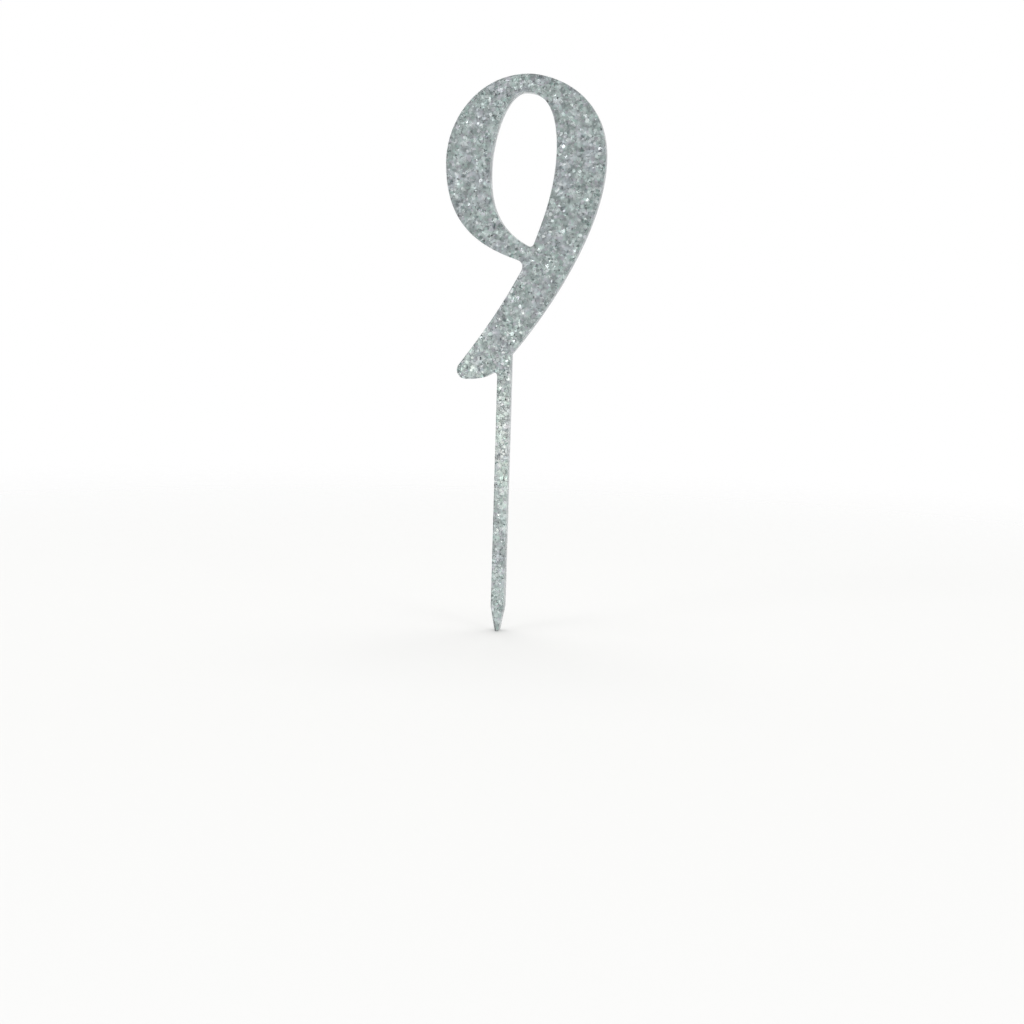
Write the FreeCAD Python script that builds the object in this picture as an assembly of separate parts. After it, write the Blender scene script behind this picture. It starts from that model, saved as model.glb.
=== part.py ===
"""Number 9 cake topper: a flat numeral on a stake, laser-cut from laminated glitter acrylic sheet.

The sheet is three layers bonded face to face and cut through in one pass: clear cast acrylic in
front, clear resin full of silver flakes behind it, and a thin opaque coat on the back.

Millimetres, +Z up. The numeral is read from -Y, with +X on the reader's right.
The origin is the tip of the stake, in the middle of the sheet's thickness.
"""
import FreeCAD, Part
import math
import os

# ---- driving dimensions ----------------------------------------------------------------------
NUMERAL_HEIGHT = 70.0  # from the foot line to the top of the bowl
STAKE_LENGTH = 60.0  # from the tip to the foot line
STAKE_WIDTH = 3.1
TAPER_LENGTH = 6.0  # pointed end of the stake
TIP_WIDTH = 0.8

FACE_THICKNESS = 1.8  # clear cast acrylic
GLITTER_THICKNESS = 0.9  # resin and flakes
BACKING_THICKNESS = 0.3  # opaque back coat

CROTCH_RADIUS = 1.6  # inside corner where the bowl meets the tail
COUNTER_TIP_RADIUS = 0.9  # pointed lower end of the counter
STAKE_ROOT_RADIUS = 0.8  # inside corners where the stake leaves the numeral
TIP_RADIUS = 0.2  # corners of the stake's blunt tip
RIM_RADIUS = 0.1  # edges of the two flat faces, softened by the laser's heat

# ---- the numeral's drawing: (x from the stake's centre line, height above the foot line) --------
# Extreme points of the bowl and of the counter, which is the hole in it.
BOWL_TOP = (4.0, NUMERAL_HEIGHT)
BOWL_RIGHT = (22.3, 50.8)
BOWL_LEFT = (-15.1, 50.5)
COUNTER_TOP = (3.0, 66.0)
COUNTER_RIGHT = (10.9, 52.7)
COUNTER_LEFT = (-4.6, 48.7)
COUNTER_TIP = (5.9, 30.7)

# Corners where two strokes meet.
CROTCH = (4.4, 27.3)  # underside of the bowl meets the left edge of the tail
TAIL_ROOT = (STAKE_WIDTH / 2, 6.1)  # right edge of the tail meets the stake
SOLE_ROOT = (-STAKE_WIDTH / 2, 2.4)  # sole of the foot meets the stake

# The toe is a round end between the sole and the left edge of the tail.
TOE_RADIUS = 2.1
TOE_CENTRE = (-9.2, TOE_RADIUS)
TOE_BOTTOM = (-9.2, 0.0)

# Headings of the pen in degrees: 0 is towards +X, 90 is up. It draws every loop clockwise.
RIGHT, UP, LEFT, DOWN = 0, 90, 180, -90
SOLE_HEADING = -147  # sole of the foot as it leaves the stake
TAIL_HEADING_LOW = 53  # left edge of the tail at the toe
TAIL_HEADING_HIGH = 63  # left edge of the tail at the crotch
UNDERSIDE_HEADING = 164  # underside of the bowl as it leaves the crotch
TAIL_ROOT_HEADING = -130  # right edge of the tail as it reaches the stake
COUNTER_TIP_HEADING_OUT = 158  # lower left edge of the counter at its tip
COUNTER_TIP_HEADING_IN = -109  # lower right edge of the counter at its tip

SHEET_THICKNESS = FACE_THICKNESS + GLITTER_THICKNESS + BACKING_THICKNESS
FRONT = -SHEET_THICKNESS / 2
BACK = SHEET_THICKNESS / 2
SAME_PLACE = 0.01  # two points nearer than this are one corner
SLAB_MARGIN = 1.0  # the slab that cuts out a layer stands this far past the sheet


def at(point):
    """A point of the drawing, in the front plane of the sheet."""
    x, height = point
    return FreeCAD.Vector(x, FRONT, STAKE_LENGTH + height)


def along(heading, reach):
    """The step from a point to its handle: a distance in the direction of the heading."""
    angle = math.radians(heading)
    return FreeCAD.Vector(reach * math.cos(angle), 0, reach * math.sin(angle))


def curve(start, start_heading, start_reach, end, end_heading, end_reach):
    """A cubic curve that leaves start and arrives at end on the given headings.

    A longer reach holds the curve to its heading further.
    """
    bezier = Part.BezierCurve()
    bezier.setPoles([
        at(start),
        at(start) + along(start_heading, start_reach),
        at(end) - along(end_heading, end_reach),
        at(end),
    ])
    return bezier.toShape()


def line(start, end):
    return Part.LineSegment(at(start), at(end)).toShape()


def toe_point(clockwise_turn):
    """The point of the toe reached after turning clockwise from its bottom by so many degrees."""
    angle = math.radians(-90 - clockwise_turn)
    x = TOE_CENTRE[0] + TOE_RADIUS * math.cos(angle)
    return x, TOE_CENTRE[1] + TOE_RADIUS * math.sin(angle)


def toe():
    whole_turn = LEFT - TAIL_HEADING_LOW
    points = [TOE_BOTTOM, toe_point(whole_turn / 2), toe_point(whole_turn)]
    return Part.Arc(*[at(point) for point in points]).toShape()


def stake_edges():
    """The stake's outline, from the root on its right side round the tip to the root on its left."""
    half, half_tip = STAKE_WIDTH / 2, TIP_WIDTH / 2
    shoulder, tip = TAPER_LENGTH - STAKE_LENGTH, -STAKE_LENGTH
    corners = [
        TAIL_ROOT,
        (half, shoulder),
        (half_tip, tip),
        (-half_tip, tip),
        (-half, shoulder),
        SOLE_ROOT,
    ]
    return [line(start, end) for start, end in zip(corners, corners[1:])]


def numeral_edges():
    """The numeral's outline, clockwise from the stake's left side to its right side.

    The reaches of each curve, its third and sixth values, set how full it is.
    """
    tail_start = toe_point(LEFT - TAIL_HEADING_LOW)
    return [
        curve(SOLE_ROOT, SOLE_HEADING, 2.6, TOE_BOTTOM, LEFT, 4.5),
        toe(),
        curve(tail_start, TAIL_HEADING_LOW, 11.0, CROTCH, TAIL_HEADING_HIGH, 10.0),
        curve(CROTCH, UNDERSIDE_HEADING, 11.7, BOWL_LEFT, UP, 14.8),
        curve(BOWL_LEFT, UP, 9.0, BOWL_TOP, RIGHT, 12.2),
        curve(BOWL_TOP, RIGHT, 3.5, BOWL_RIGHT, DOWN, 16.5),
        curve(BOWL_RIGHT, DOWN, 17.0, TAIL_ROOT, TAIL_ROOT_HEADING, 9.0),
    ]


def counter_edges():
    """The hole in the bowl, clockwise from its pointed lower end."""
    return [
        curve(COUNTER_TIP, COUNTER_TIP_HEADING_OUT, 11.5, COUNTER_LEFT, UP, 4.5),
        curve(COUNTER_LEFT, UP, 6.5, COUNTER_TOP, RIGHT, 4.6),
        curve(COUNTER_TOP, RIGHT, 4.0, COUNTER_RIGHT, DOWN, 10.7),
        curve(COUNTER_RIGHT, DOWN, 9.6, COUNTER_TIP, COUNTER_TIP_HEADING_IN, 4.3),
    ]


def corner_edges(solid, corner):
    """The edges of the solid that run through the sheet at a corner of the drawing."""
    place = at(corner)
    found = []
    for edge in solid.Edges:
        offsets = [vertex.Point - place for vertex in edge.Vertexes]
        if all(math.hypot(offset.x, offset.z) < SAME_PLACE for offset in offsets):
            found.append(edge)
    return found


def rim_edges(solid):
    """The edges that bound the sheet's two flat faces."""
    rims = []
    for edge in solid.Edges:
        depths = [vertex.Point.y for vertex in edge.Vertexes]
        if max(depths) < FRONT + SAME_PLACE or min(depths) > BACK - SAME_PLACE:
            rims.append(edge)
    return rims


def cut_sheet():
    """The whole topper as it leaves the cutter, all three layers in one solid."""
    outline = Part.Wire(numeral_edges() + stake_edges())
    counter = Part.Wire(counter_edges())
    face = Part.makeFace([outline, counter], "Part::FaceMakerBullseye")
    sheet = face.extrude(FreeCAD.Vector(0, SHEET_THICKNESS, 0))

    rounded_corners = [
        (CROTCH, CROTCH_RADIUS),
        (COUNTER_TIP, COUNTER_TIP_RADIUS),
        (TAIL_ROOT, STAKE_ROOT_RADIUS),
        (SOLE_ROOT, STAKE_ROOT_RADIUS),
        ((-TIP_WIDTH / 2, -STAKE_LENGTH), TIP_RADIUS),
        ((TIP_WIDTH / 2, -STAKE_LENGTH), TIP_RADIUS),
    ]
    for corner, radius in rounded_corners:
        sheet = sheet.makeFillet(radius, corner_edges(sheet, corner))
    return sheet.makeFillet(RIM_RADIUS, rim_edges(sheet))


def layer(sheet, front, thickness):
    """The slice of the sheet between two planes across its thickness."""
    box = sheet.BoundBox
    width = box.XLength + 2 * SLAB_MARGIN
    height = box.ZLength + 2 * SLAB_MARGIN
    corner = FreeCAD.Vector(box.XMin - SLAB_MARGIN, front, box.ZMin - SLAB_MARGIN)
    slab = Part.makeBox(width, thickness, height, corner)
    return sheet.common(slab).Solids[0]


def main():
    os.makedirs("parts", exist_ok=True)
    sheet = cut_sheet()
    front = FRONT
    layers = [
        ("clear_face_sheet", FACE_THICKNESS),
        ("glitter_layer", GLITTER_THICKNESS),
        ("backing_sheet", BACKING_THICKNESS),
    ]
    for name, thickness in layers:
        shape = layer(sheet, front, thickness)
        shape.exportStep(f"parts/{name}.step")
        box = shape.BoundBox
        print(f"{name}: valid {shape.isValid()}, volume {shape.Volume:.1f} mm3, "
              f"{box.XLength:.2f} x {box.YLength:.2f} x {box.ZLength:.2f} mm")
        front += thickness


main()
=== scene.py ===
import math

import bmesh
import bpy
import numpy as np
from mathutils import Matrix, Vector


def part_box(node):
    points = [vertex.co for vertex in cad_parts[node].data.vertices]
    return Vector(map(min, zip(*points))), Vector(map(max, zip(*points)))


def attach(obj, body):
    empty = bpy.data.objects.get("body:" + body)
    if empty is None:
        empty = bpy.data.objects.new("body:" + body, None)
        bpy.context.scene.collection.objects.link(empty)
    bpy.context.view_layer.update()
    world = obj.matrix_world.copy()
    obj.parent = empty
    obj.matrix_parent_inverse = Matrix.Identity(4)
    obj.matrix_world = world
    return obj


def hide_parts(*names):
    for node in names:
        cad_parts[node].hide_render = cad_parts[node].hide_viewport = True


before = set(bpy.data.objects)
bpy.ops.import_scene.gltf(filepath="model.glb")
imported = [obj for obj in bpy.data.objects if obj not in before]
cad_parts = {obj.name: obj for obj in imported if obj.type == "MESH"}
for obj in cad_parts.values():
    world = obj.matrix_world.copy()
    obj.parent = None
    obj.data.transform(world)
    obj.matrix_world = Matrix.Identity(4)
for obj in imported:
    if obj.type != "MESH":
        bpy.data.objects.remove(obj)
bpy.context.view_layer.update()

# The frame: metres, +Z up, the numeral is read from -Y with +X on the reader's right.
# Three bonded layers: clear acrylic in front, resin full of flakes behind it, a coat on the back.

MM = 0.001
NEAR_ZERO = 1e-18  # keeps a division by nothing from happening
MERGE_DISTANCE = 0.0001 * MM  # corners of a CAD mesh nearer than this are one
RNG = np.random.default_rng(9)

# How squarely a surface faces along Y, from 0 to 1.
FACE_NORMAL = 0.9  # the flat faces are above this
WALL_NORMAL = 0.3  # the cut walls are below this

# ---- view -------------------------------------------------------------------------------------
VIEW_AZIMUTH = math.radians(11.0)  # to the right of square on
VIEW_ELEVATION = math.radians(6.8)
VIEW_ROLL = math.radians(1.7)  # the topper leans this much to the right in the picture
VIEW_DISTANCE = 344.5 * MM
VIEW_AIM = Vector((2.7 * MM, 0, 28.8 * MM))
FOCAL_LENGTH = 50.9  # this and the sensor's width are in millimetres
SENSOR_WIDTH = 36
CLIP_START = 10 * MM

# ---- flakes: small hexagons of metallised film ----------------------------------------------------
FLAKE_SIDES = 6
FLAKE_PITCH = 0.54 * MM  # between the middles of neighbouring flakes
FLAKE_SHAKE = 0.42  # share of the pitch by which a middle may move each way
FLAKE_RADIUS = 0.40 * MM  # to a corner
FLAKE_SPREAD = 0.18  # how much radii vary, as a share of the radius
FLAKE_THICKNESS = 0.02 * MM
FLAKE_TILT = math.radians(13)  # spread of the angles that flakes lie at
FLAKE_MOST_TILT = math.radians(34)
FLAKE_SKIN = 0.30 * MM  # the flakes' middles are within this of the back of the clear sheet
FLAKE_DEPTHS = (0.15, 0.85)  # shares of that skin between which they lie
RIM_GAP = 0.01 * MM  # between a cut flake and the sheet's cut edge
MOST_CUTS = 4  # a flake that still stands outside after so many cuts is dropped
RESIN_OVERLAP = 0.02 * MM  # the resin reaches this far into the clear sheet, so no planes coincide

# The bright and the shaded film are a lighter and a darker copy of the silver film: painted light
# and painted shade on flakes that all have one film.
FLAKE_FILMS = [
    # name, colour, colour of its clouds, roughness, share of the flakes
    ("flake_silver", (0.75, 0.86, 0.84), (0.78, 0.84, 0.88), 0.30, 0.40),
    ("flake_painted_lit", (0.90, 0.99, 0.98), (0.93, 0.98, 1.00), 0.24, 0.20),
    ("flake_painted_shade", (0.58, 0.67, 0.66), (0.61, 0.66, 0.69), 0.34, 0.18),
    ("flake_lilac", (0.77, 0.79, 0.84), (0.78, 0.79, 0.85), 0.30, 0.12),
    ("flake_mint", (0.70, 0.86, 0.82), (0.73, 0.85, 0.84), 0.30, 0.10),
]

# ---- surface detail -----------------------------------------------------------------------------
# A range is the pair of noise values between which a detail comes in.
BLACK = (0, 0, 0)
WHITE = (1, 1, 1)
SOFT_RANGE = (0.3, 0.7)

ACRYLIC_TINT = (0.985, 0.995, 0.993)
ACRYLIC_IOR = 1.49
LASER_MARK_PITCH = 0.22 * MM
LASER_MARK_DEPTH = 0.006 * MM
LASER_MARK_STRETCH = 0.03  # marks run from front to back, so they hardly change along Y
FACE_WAVE_LENGTH = 14 * MM
FACE_WAVE_DEPTH = 0.02 * MM
HAZE_SIZE = 6 * MM
HAZE_RANGE = (0.4, 0.7)
HAZE_ROUGHNESS = 0.05
WALL_FROST = 0.28  # roughness that the laser leaves on the cut walls

FILM_CLOUD_SIZE = 5 * MM
FILM_CLOUD_RANGE = (0.47, 0.6)
FILM_CLUMP_SIZE = 1.9 * MM
FILM_CLUMP_RANGE = (0.40, 0.60)
FILM_CLUMP_SHADE = 0.30  # how much darker a clump of flakes is at most
FILM_ROUGHNESS_SPREAD = 0.05

DEEP_FLAKE_SIZE = 0.42 * MM
DEEP_FLAKE_FLATNESS = 4  # how much thinner than wide the deep flakes are drawn
DEEP_FLAKE_DARK = (0.34, 0.37, 0.38)
DEEP_FLAKE_LIGHT = (0.86, 0.91, 0.91)
DEEP_FLAKE_LILAC = (0.72, 0.70, 0.84)
LILAC_RANGE = (0.7, 1)
LILAC_MOST = 0.35
# Painted shade: the gaps between the deep flakes are drawn dark.
DEEP_GAP_PAINTED_SHADE = (0.12, 0.13, 0.135)
DEEP_GAP_WIDTH = 0.07  # as a share of a deep flake
DEEP_ROUGHNESS = (0.18, 0.45)
DEEP_LEAN = 0.7  # how far the deep flakes' normals lean from side to side
HALF_CHANCE = (0.5, 0.5, 0.5)  # the middle of the cells' random colours, which leans no way
RESIN_GLOSS = 0.6  # weight of the clear resin's own gloss over the deep flakes
RESIN_ROUGHNESS = 0.12
RESIN_IOR = 1.5

COAT_METAL = 0.55
COAT_DARK = (0.53, 0.55, 0.56)
COAT_LIGHT = (0.57, 0.59, 0.60)
COAT_CLOUD_SIZE = 5 * MM
COAT_ROUGHNESS = (0.36, 0.46)
FLECK_SIZE = 0.09 * MM
FLECK_COLOUR = (0.88, 0.90, 0.90)
FLECK_RANGE = (0.75, 1.0)
FLECK_MOST = 0.8
FLECK_GLOSS = -0.1  # what a fleck adds to the roughness
PEEL_SIZE = 0.5 * MM
PEEL_DEPTH = 0.012 * MM

# ---- studio -------------------------------------------------------------------------------------
ROOM_IN_FRONT = 0.67  # brightness towards -Y
ROOM_BEHIND = 1.22  # brightness towards +Y
ROOM_RAMP = (-1, 0.6)  # the shares of +Y in a direction between which one turns into the other
FLOOR_COLOUR = (0.85, 0.85, 0.84, 1)
FLOOR_ROUGHNESS = 0.8
FLOOR_RADIUS = 0.7
FLOOR_SIDES = 96
FLOOR_FADE = (0.08, 0.46)  # distances between which the floor melts into the white room
LIGHT_TURNS = 24  # how often light may turn inside the clear sheet
GLOSSY_TURNS = 16

NUMERAL = (0, 0, 0.09)
STAKE = (0, 0, 0.045)
FROSTING_TINT = (1, 0.95, 0.82)
LIGHTS = [
    # name, place, aim, width and height in metres, watts, colour, whether it lights the floor
    ("key", (-0.5, -0.6, 0.6), NUMERAL, (0.25, 0.25), 0.6, WHITE, True),
    ("fill", (0.6, -0.5, 0.3), NUMERAL, (0.2, 0.3), 0.4, WHITE, True),
    ("top", (0, 0.1, 0.9), NUMERAL, (0.6, 0.6), 2.6, WHITE, True),
    ("bounce", (-0.006, -0.028, 0.045), STAKE, (0.09, 0.024), 0.0033, FROSTING_TINT, False),
]


# ---- outline -----------------------------------------------------------------------------------

def cut_outline(node):
    """The closed loops of a layer's front face, as arrays of (x, z)."""
    bm = bmesh.new()
    bm.from_mesh(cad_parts[node].data)
    bmesh.ops.remove_doubles(bm, verts=bm.verts, dist=MERGE_DISTANCE)
    front = {face for face in bm.faces if face.normal.y < -FACE_NORMAL}
    rim = [edge for edge in bm.edges if sum(face in front for face in edge.link_faces) == 1]
    following = {}
    for edge in rim:
        for vert in edge.verts:
            following.setdefault(vert, []).append(edge)
    loops, unused = [], list(rim)
    while unused:
        edge = unused.pop()
        first, vert = edge.verts
        loop = [first]
        while vert is not first:
            loop.append(vert)
            edge = next(other for other in following[vert] if other in unused)
            unused.remove(edge)
            vert = edge.other_vert(vert)
        loops.append(np.array([(corner.co.x, corner.co.z) for corner in loop]))
    bm.free()
    return loops


def segments_of(loops):
    """Starts and ends of every straight stretch of the loops."""
    starts = np.concatenate(loops)
    ends = np.concatenate([np.roll(loop, -1, axis=0) for loop in loops])
    return starts, ends


def is_inside(points, starts, ends):
    """Which points the loops enclose, by counting the stretches crossed on the way to +X."""
    x, z = points[:, :1], points[:, 1:]
    spans = (starts[:, 1] > z) != (ends[:, 1] > z)
    rise = ends[:, 1] - starts[:, 1]
    rise = np.where(rise == 0, NEAR_ZERO, rise)
    crossing = starts[:, 0] + (z - starts[:, 1]) / rise * (ends[:, 0] - starts[:, 0])
    return ((spans & (crossing > x)).sum(axis=1) % 2).astype(bool)


def nearest_rim(points, starts, ends):
    """For each point, the nearest place on the rim and how far off it is."""
    along = ends - starts
    length_squared = np.maximum((along ** 2).sum(axis=1), NEAR_ZERO)
    share = ((points[:, None] - starts) * along).sum(axis=2) / length_squared
    places = starts + np.clip(share, 0, 1)[..., None] * along
    distance_squared = ((points[:, None] - places) ** 2).sum(axis=2)
    nearest = distance_squared.argmin(axis=1)
    rows = np.arange(len(points))
    return places[rows, nearest], np.sqrt(distance_squared[rows, nearest])


# ---- flakes ------------------------------------------------------------------------------------

def flake_middles(starts, ends):
    """A triangular lattice over the outline, shaken so that no rows show."""
    low = starts.min(axis=0) - FLAKE_PITCH
    high = starts.max(axis=0) + FLAKE_PITCH
    row_gap = FLAKE_PITCH * math.sqrt(3) / 2
    rows = np.arange(low[1], high[1], row_gap)
    middles = []
    for number, z in enumerate(rows):
        x = np.arange(low[0] + (number % 2) * FLAKE_PITCH / 2, high[0], FLAKE_PITCH)
        middles.append(np.column_stack([x, np.full_like(x, z)]))
    middles = np.concatenate(middles)
    middles += RNG.uniform(-FLAKE_SHAKE, FLAKE_SHAKE, middles.shape) * FLAKE_PITCH
    return middles[is_inside(middles, starts, ends)]


def flake_corners(middle, radius):
    """A hexagon lying nearly flat along the sheet, tilted and turned at random, and its normal."""
    tilt = min(abs(RNG.normal(0, FLAKE_TILT)), FLAKE_MOST_TILT)
    towards, turn = RNG.uniform(0, 2 * math.pi, 2)
    normal = Vector((
        math.sin(tilt) * math.cos(towards),
        -math.cos(tilt),
        math.sin(tilt) * math.sin(towards),
    ))
    across = normal.orthogonal().normalized()
    up = normal.cross(across)
    corners = [
        middle + radius * (math.cos(angle) * across + math.sin(angle) * up)
        for angle in turn + np.arange(FLAKE_SIDES) * 2 * math.pi / FLAKE_SIDES
    ]
    return corners, normal


def clip(corners, place, inward):
    """A flat polygon cut off along a line in X-Z through place.

    The side that inward points to is kept.
    """
    side = [
        (corner.x - place[0]) * inward[0] + (corner.z - place[1]) * inward[1]
        for corner in corners
    ]
    kept = []
    for number, corner in enumerate(corners):
        after = (number + 1) % len(corners)
        if side[number] >= 0:
            kept.append(corner)
        if (side[number] >= 0) != (side[after] >= 0):
            share = side[number] / (side[number] - side[after])
            kept.append(corner.lerp(corners[after], share))
    return kept


def cut_to_outline(corners, starts, ends):
    """The flake as the cutter leaves it, with no corner outside the outline, or an empty list.

    Each cut runs along the rim nearest to the corner that stands out furthest.
    """
    for cut in range(MOST_CUTS):
        flat = np.array([(corner.x, corner.z) for corner in corners])
        places, distances = nearest_rim(flat, starts, ends)
        outside = ~is_inside(flat, starts, ends)
        if not outside.any():
            return corners
        worst = np.where(outside, distances, 0).argmax()
        inward = (places[worst] - flat[worst]) / max(distances[worst], NEAR_ZERO)
        corners = clip(corners, places[worst] + inward * RIM_GAP, inward)
        if len(corners) < 3:
            return []
    return []


def add_prism(bm, corners, step, material):
    """A closed plate: the corners in front, and the same corners moved by step behind."""
    front = [bm.verts.new(corner) for corner in corners]
    back = [bm.verts.new(corner + step) for corner in corners]
    faces = [bm.faces.new(front), bm.faces.new(back[::-1])]
    for number in range(len(corners)):
        after = (number + 1) % len(corners)
        faces.append(bm.faces.new((front[after], front[number], back[number], back[after])))
    for face in faces:
        face.material_index = material


def new_piece(name, bm, materials):
    """An object made of the bmesh, which is freed."""
    mesh = bpy.data.meshes.new(name)
    bm.to_mesh(mesh)
    bm.free()
    for material in materials:
        mesh.materials.append(material)
    piece = bpy.data.objects.new(name, mesh)
    bpy.context.scene.collection.objects.link(piece)
    return piece


def make_flakes(materials, weights):
    """The flakes nearest the eye, each a plate of its own, cut off where the outline cuts them."""
    starts, ends = segments_of(cut_outline("glitter_layer"))
    middles = flake_middles(starts, ends)
    distances = nearest_rim(middles, starts, ends)[1]
    skin_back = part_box("clear_face_sheet")[1].y
    shades = RNG.choice(len(materials), len(middles), p=weights)
    bm = bmesh.new()
    for (x, z), distance, shade in zip(middles, distances, shades):
        radius = FLAKE_RADIUS * (1 + RNG.normal(0, FLAKE_SPREAD))
        depth = skin_back - FLAKE_SKIN * RNG.uniform(*FLAKE_DEPTHS)
        corners, normal = flake_corners(Vector((x, depth, z)), radius)
        if distance < radius + FLAKE_THICKNESS:
            corners = cut_to_outline(corners, starts, ends)
        if corners:
            add_prism(bm, corners, -normal * FLAKE_THICKNESS, int(shade))
    bmesh.ops.recalc_face_normals(bm, faces=bm.faces)
    return new_piece("glitter_flakes", bm, materials)


def make_resin(material):
    """The glitter layer's body: its CAD solid with the front moved a hair into the clear sheet."""
    low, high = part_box("glitter_layer")
    middle = (low.y + high.y) / 2
    bm = bmesh.new()
    bm.from_mesh(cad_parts["glitter_layer"].data)
    bmesh.ops.remove_doubles(bm, verts=bm.verts, dist=MERGE_DISTANCE)
    for vert in bm.verts:
        if vert.co.y < middle:
            vert.co.y -= RESIN_OVERLAP
    for face in bm.faces:
        face.material_index = 0
        face.smooth = abs(face.normal.y) < FACE_NORMAL
    return new_piece("glitter_resin", bm, [material])


# ---- materials ---------------------------------------------------------------------------------

def new_material(name, **values):
    """A material whose Principled shader has the given constants set on its own sockets."""
    material = bpy.data.materials.new(name)
    material.use_nodes = True
    shader = material.node_tree.nodes["Principled BSDF"]
    for socket, value in values.items():
        shader.inputs[socket.replace("_", " ")].default_value = value
    return material


class Tree:
    """Short ways to add and join the nodes of one material or world."""

    def __init__(self, owner):
        self.nodes = owner.node_tree.nodes
        self.links = owner.node_tree.links

    def join(self, source, target):
        """Links a socket to the target, or sets the target to a plain value."""
        if hasattr(source, "links"):
            self.links.new(source, target)
        else:
            target.default_value = source

    def add(self, kind, output, inputs, **settings):
        """A new node with its settings and inputs, given by the output that is wanted."""
        node = self.nodes.new("ShaderNode" + kind)
        for setting, value in settings.items():
            setattr(node, setting, value)
        for socket, source in inputs.items():
            self.join(source, node.inputs[socket])
        return node.outputs[output]

    def set(self, socket, source):
        """Gives the Principled shader one of its inputs."""
        self.join(source, self.nodes["Principled BSDF"].inputs[socket])

    def times(self, first, second):
        return self.add("Math", 0, {0: first, 1: second}, operation="MULTIPLY")

    def plus(self, first, second):
        return self.add("Math", 0, {0: first, 1: second}, operation="ADD")

    def vector(self, operation, first, second):
        return self.add("VectorMath", 0, {0: first, 1: second}, operation=operation)

    def place(self, stretch):
        """The point of the object being shaded, in metres, stretched along each axis."""
        return self.vector("MULTIPLY", self.add("TexCoord", "Object", {}), stretch)

    def noise(self, size, stretch=(1, 1, 1), detail=2.0):
        """Soft noise whose features are about so many metres across.

        More detail adds finer layers.
        """
        inputs = {"Vector": self.place(stretch), "Scale": 1 / size, "Detail": detail}
        return self.add("TexNoise", "Fac", inputs)

    def cells(self, size, output, stretch=(1, 1, 1), feature="F1"):
        """Cells of random colour, about so many metres across."""
        inputs = {"Vector": self.place(stretch), "Scale": 1 / size}
        return self.add("TexVoronoi", output, inputs, feature=feature)

    def remap(self, value, between, low, high, **settings):
        """A value that goes from low to high while the given one goes between two others."""
        inputs = {
            "Value": value,
            "From Min": between[0],
            "From Max": between[1],
            "To Min": low,
            "To Max": high,
        }
        return self.add("MapRange", "Result", inputs, **settings)

    def blend(self, share, first, second):
        """A colour between two others."""
        node = self.nodes.new("ShaderNodeMix")
        node.data_type = "RGBA"
        self.join(share, node.inputs["Factor"])
        for colour, socket in ((first, node.inputs[6]), (second, node.inputs[7])):
            self.join(colour if hasattr(colour, "links") else (*colour, 1), socket)
        return node.outputs[2]

    def channels(self, colour):
        """The red, green and blue of a colour."""
        node = self.add("SeparateColor", 0, {"Color": colour}).node
        return node.outputs[0], node.outputs[1], node.outputs[2]

    def wallness(self):
        """1 on the cut walls and 0 on the flat faces."""
        normal = self.add("TexCoord", "Normal", {})
        across = self.add("SeparateXYZ", "Y", {"Vector": normal})
        size = self.add("Math", 0, {0: across}, operation="ABSOLUTE")
        return self.remap(size, (WALL_NORMAL, FACE_NORMAL), 1, 0)

    def bump(self, height, depth):
        """Relief so many metres deep between heights 0 and 1."""
        inputs = {"Height": height, "Distance": depth, "Strength": 1.0}
        return self.add("Bump", "Normal", inputs)


def clear_acrylic():
    """Cast acrylic: a faintly hazed face and, on the cut walls, the laser's fine marks."""
    material = new_material(
        "clear_acrylic",
        Base_Color=(*ACRYLIC_TINT, 1),
        IOR=ACRYLIC_IOR,
        Transmission_Weight=1.0,
    )
    tree = Tree(material)
    walls = tree.wallness()
    marks = tree.noise(LASER_MARK_PITCH, stretch=(1, LASER_MARK_STRETCH, 1), detail=1.0)
    waves = tree.noise(FACE_WAVE_LENGTH, detail=0.0)
    relief = tree.plus(
        tree.times(tree.times(marks, walls), LASER_MARK_DEPTH),
        tree.times(waves, FACE_WAVE_DEPTH),
    )
    haze = tree.remap(tree.noise(HAZE_SIZE, detail=6.0), HAZE_RANGE, 0.0, HAZE_ROUGHNESS)
    tree.set("Roughness", tree.plus(haze, tree.times(walls, WALL_FROST)))
    # The relief is in metres already.
    tree.set("Normal", tree.bump(relief, 1.0))
    return material


def flake_film(name, colour, cloud_colour, roughness):
    """Metallised film: faint clouds of another tint and of roughness, and darker clumps."""
    material = new_material(name, Metallic=1.0)
    tree = Tree(material)
    cloud = tree.noise(FILM_CLOUD_SIZE)
    tinted = tree.blend(tree.remap(cloud, FILM_CLOUD_RANGE, 0, 1), colour, cloud_colour)
    clump = tree.noise(FILM_CLUMP_SIZE, detail=1.0)
    shade = tree.remap(clump, FILM_CLUMP_RANGE, 0, FILM_CLUMP_SHADE)
    tree.set("Base Color", tree.blend(shade, tinted, BLACK))
    smoothest = roughness - FILM_ROUGHNESS_SPREAD
    roughest = roughness + FILM_ROUGHNESS_SPREAD
    tree.set("Roughness", tree.remap(cloud, SOFT_RANGE, smoothest, roughest))
    return material


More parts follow.
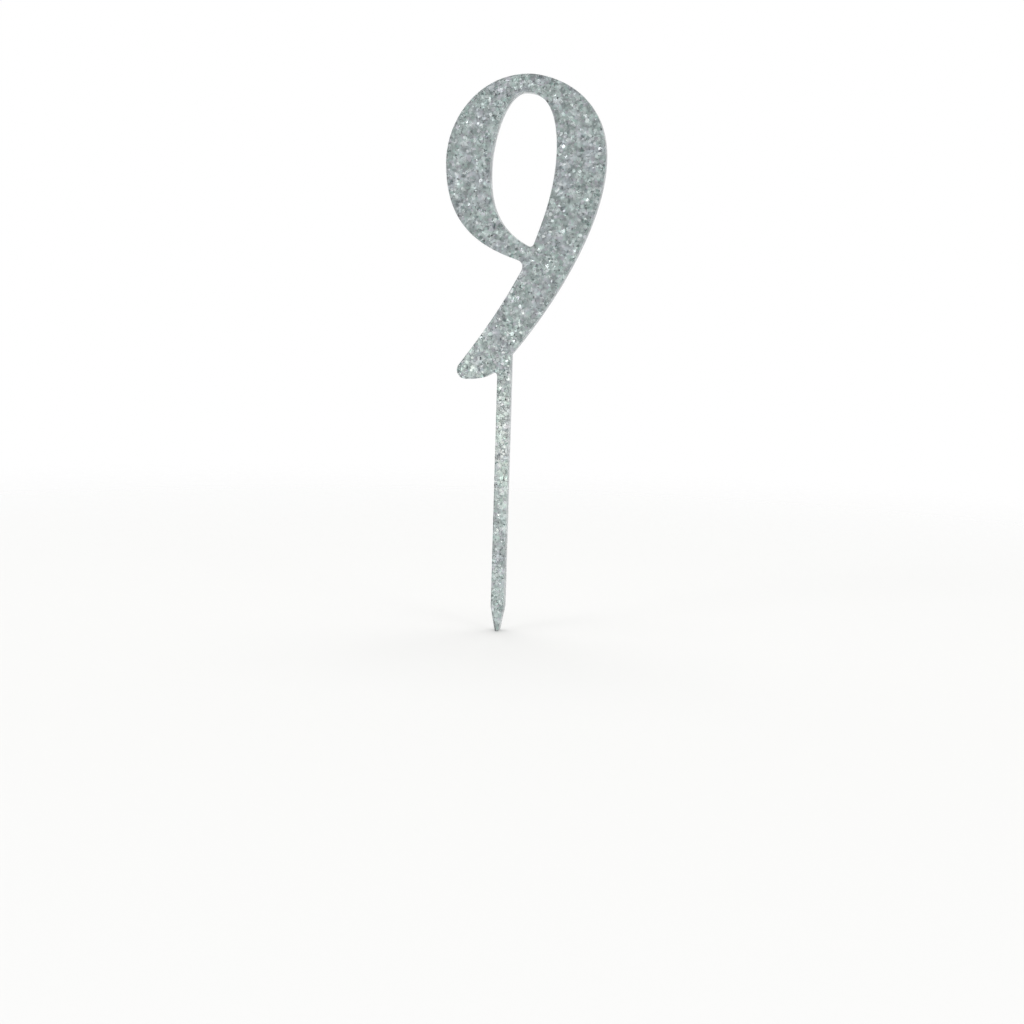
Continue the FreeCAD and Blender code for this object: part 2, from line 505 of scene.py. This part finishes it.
def glitter_resin():
    """Flakes deep in the resin.

    They lie along the sheet, so each is wide on the face and thin on the cut walls.
    """
    material = new_material(
        "glitter_resin",
        Metallic=1.0,
        Coat_Weight=RESIN_GLOSS,
        Coat_Roughness=RESIN_ROUGHNESS,
        Coat_IOR=RESIN_IOR,
    )
    tree = Tree(material)
    flat = (1, DEEP_FLAKE_FLATNESS, 1)
    chance = tree.cells(DEEP_FLAKE_SIZE, "Color", stretch=flat)
    red, green, blue = tree.channels(chance)
    lit = tree.blend(red, DEEP_FLAKE_DARK, DEEP_FLAKE_LIGHT)
    tinted = tree.blend(tree.remap(green, LILAC_RANGE, 0, LILAC_MOST), lit, DEEP_FLAKE_LILAC)
    # Dark lines at the cells' edges: painted shade in the gaps between the deep flakes.
    edge = tree.cells(DEEP_FLAKE_SIZE, "Distance", stretch=flat, feature="DISTANCE_TO_EDGE")
    inside = tree.remap(edge, (0.0, DEEP_GAP_WIDTH), 0, 1)
    tree.set("Base Color", tree.blend(inside, DEEP_GAP_PAINTED_SHADE, tinted))
    tree.set("Roughness", tree.remap(blue, (0, 1), *DEEP_ROUGHNESS))
    lean = tree.vector("SUBTRACT", chance, HALF_CHANCE)
    lean = tree.vector("MULTIPLY", lean, (DEEP_LEAN, DEEP_LEAN, DEEP_LEAN))
    normal = tree.add("NewGeometry", "Normal", {})
    tree.set("Normal", tree.vector("ADD", normal, lean))
    return material


def back_coat():
    """Satin silver-grey lacquer with fine metallic fleck and a light orange peel."""
    material = new_material("back_coat", Metallic=COAT_METAL)
    tree = Tree(material)
    fleck = tree.channels(tree.cells(FLECK_SIZE, "Color"))[0]
    cloud = tree.noise(COAT_CLOUD_SIZE, detail=3.0)
    grey = tree.blend(tree.remap(cloud, SOFT_RANGE, 0, 1), COAT_DARK, COAT_LIGHT)
    flecked = tree.blend(tree.remap(fleck, FLECK_RANGE, 0, FLECK_MOST), grey, FLECK_COLOUR)
    tree.set("Base Color", flecked)
    satin = tree.remap(cloud, SOFT_RANGE, *COAT_ROUGHNESS)
    tree.set("Roughness", tree.plus(satin, tree.times(fleck, FLECK_GLOSS)))
    tree.set("Normal", tree.bump(tree.noise(PEEL_SIZE, detail=1.0), PEEL_DEPTH))
    return material


# ---- stage -------------------------------------------------------------------------------------

def make_camera():
    """A camera at the viewing angle, aimed at a fixed point and rolled by the lean."""
    camera = bpy.data.objects.new("camera", bpy.data.cameras.new("camera"))
    camera.data.lens = FOCAL_LENGTH
    camera.data.sensor_width = SENSOR_WIDTH
    camera.data.clip_start = CLIP_START
    back = Vector((
        math.sin(VIEW_AZIMUTH) * math.cos(VIEW_ELEVATION),
        -math.cos(VIEW_AZIMUTH) * math.cos(VIEW_ELEVATION),
        math.sin(VIEW_ELEVATION),
    ))
    camera.location = VIEW_AIM + VIEW_DISTANCE * back
    turn = back.to_track_quat("Z", "Y").to_matrix() @ Matrix.Rotation(VIEW_ROLL, 3, "Z")
    camera.rotation_euler = turn.to_euler()
    bpy.context.scene.collection.objects.link(camera)
    bpy.context.scene.camera = camera


def area_light(name, place, aim, size, power, colour, on_floor):
    """A soft light. One that isn't on_floor only shows in reflections, and leaves no patch."""
    light = bpy.data.objects.new(name, bpy.data.lights.new(name, "AREA"))
    light.data.shape = "RECTANGLE"
    light.data.size, light.data.size_y = size
    light.data.energy = power
    light.data.color = colour
    light.location = place
    light.rotation_euler = (Vector(place) - Vector(aim)).to_track_quat("Z", "Y").to_euler()
    light.visible_camera = False
    light.visible_diffuse = on_floor
    bpy.context.scene.collection.objects.link(light)


def make_world():
    """A white page behind the object, in a room that is dimmer in front of it than behind."""
    world = bpy.data.worlds.new("studio")
    bpy.context.scene.world = world
    world.use_nodes = True
    world.node_tree.nodes.clear()
    tree = Tree(world)
    direction = tree.add("TexCoord", "Generated", {})
    along_y = tree.add("SeparateXYZ", "Y", {"Vector": direction})
    strength = tree.remap(along_y, ROOM_RAMP, ROOM_IN_FRONT, ROOM_BEHIND)
    room = tree.add("Background", 0, {"Strength": strength})
    page = tree.add("Background", 0, {"Color": (*WHITE, 1)})
    seen = tree.add("LightPath", "Is Camera Ray", {})
    mix = tree.add("MixShader", 0, {0: seen, 1: room, 2: page})
    output = tree.nodes.new("ShaderNodeOutputWorld")
    tree.join(mix, output.inputs["Surface"])


def allow_inner_reflections():
    """Lets light turn back inside the clear sheet more often than the usual limits do.

    With the usual ones, the sheet's cut edge goes dark.
    """
    limits = bpy.context.scene.cycles
    limits.max_bounces = LIGHT_TURNS
    limits.transmission_bounces = LIGHT_TURNS
    limits.glossy_bounces = GLOSSY_TURNS


def make_floor():
    """A pale round floor that melts into the white room further out."""
    bm = bmesh.new()
    bmesh.ops.create_circle(bm, cap_ends=True, segments=FLOOR_SIDES, radius=FLOOR_RADIUS)
    material = new_material("floor", Base_Color=FLOOR_COLOUR, Roughness=FLOOR_ROUGHNESS)
    tree = Tree(material)
    place = tree.add("TexCoord", "Object", {})
    distance = tree.add("VectorMath", "Value", {0: place}, operation="LENGTH")
    fade = tree.remap(distance, FLOOR_FADE, 1, 0, interpolation_type="SMOOTHSTEP")
    tree.set("Alpha", fade)
    floor = new_piece("floor", bm, [material])


# ---- build -------------------------------------------------------------------------------------

bpy.context.scene.view_settings.view_transform = "Standard"
allow_inner_reflections()
make_camera()
make_world()
make_floor()
for light in LIGHTS:
    area_light(*light)

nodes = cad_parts
for name, material in (("clear_face_sheet", clear_acrylic()), ("backing_sheet", back_coat())):
    nodes[name].data.materials.clear()
    nodes[name].data.materials.append(material)

films = [flake_film(*film) for *film, share in FLAKE_FILMS]
flakes = make_flakes(films, [share for *film, share in FLAKE_FILMS])
resin = make_resin(glitter_resin())
for piece in (flakes, resin):
    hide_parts("glitter_layer")
    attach(piece, "root")
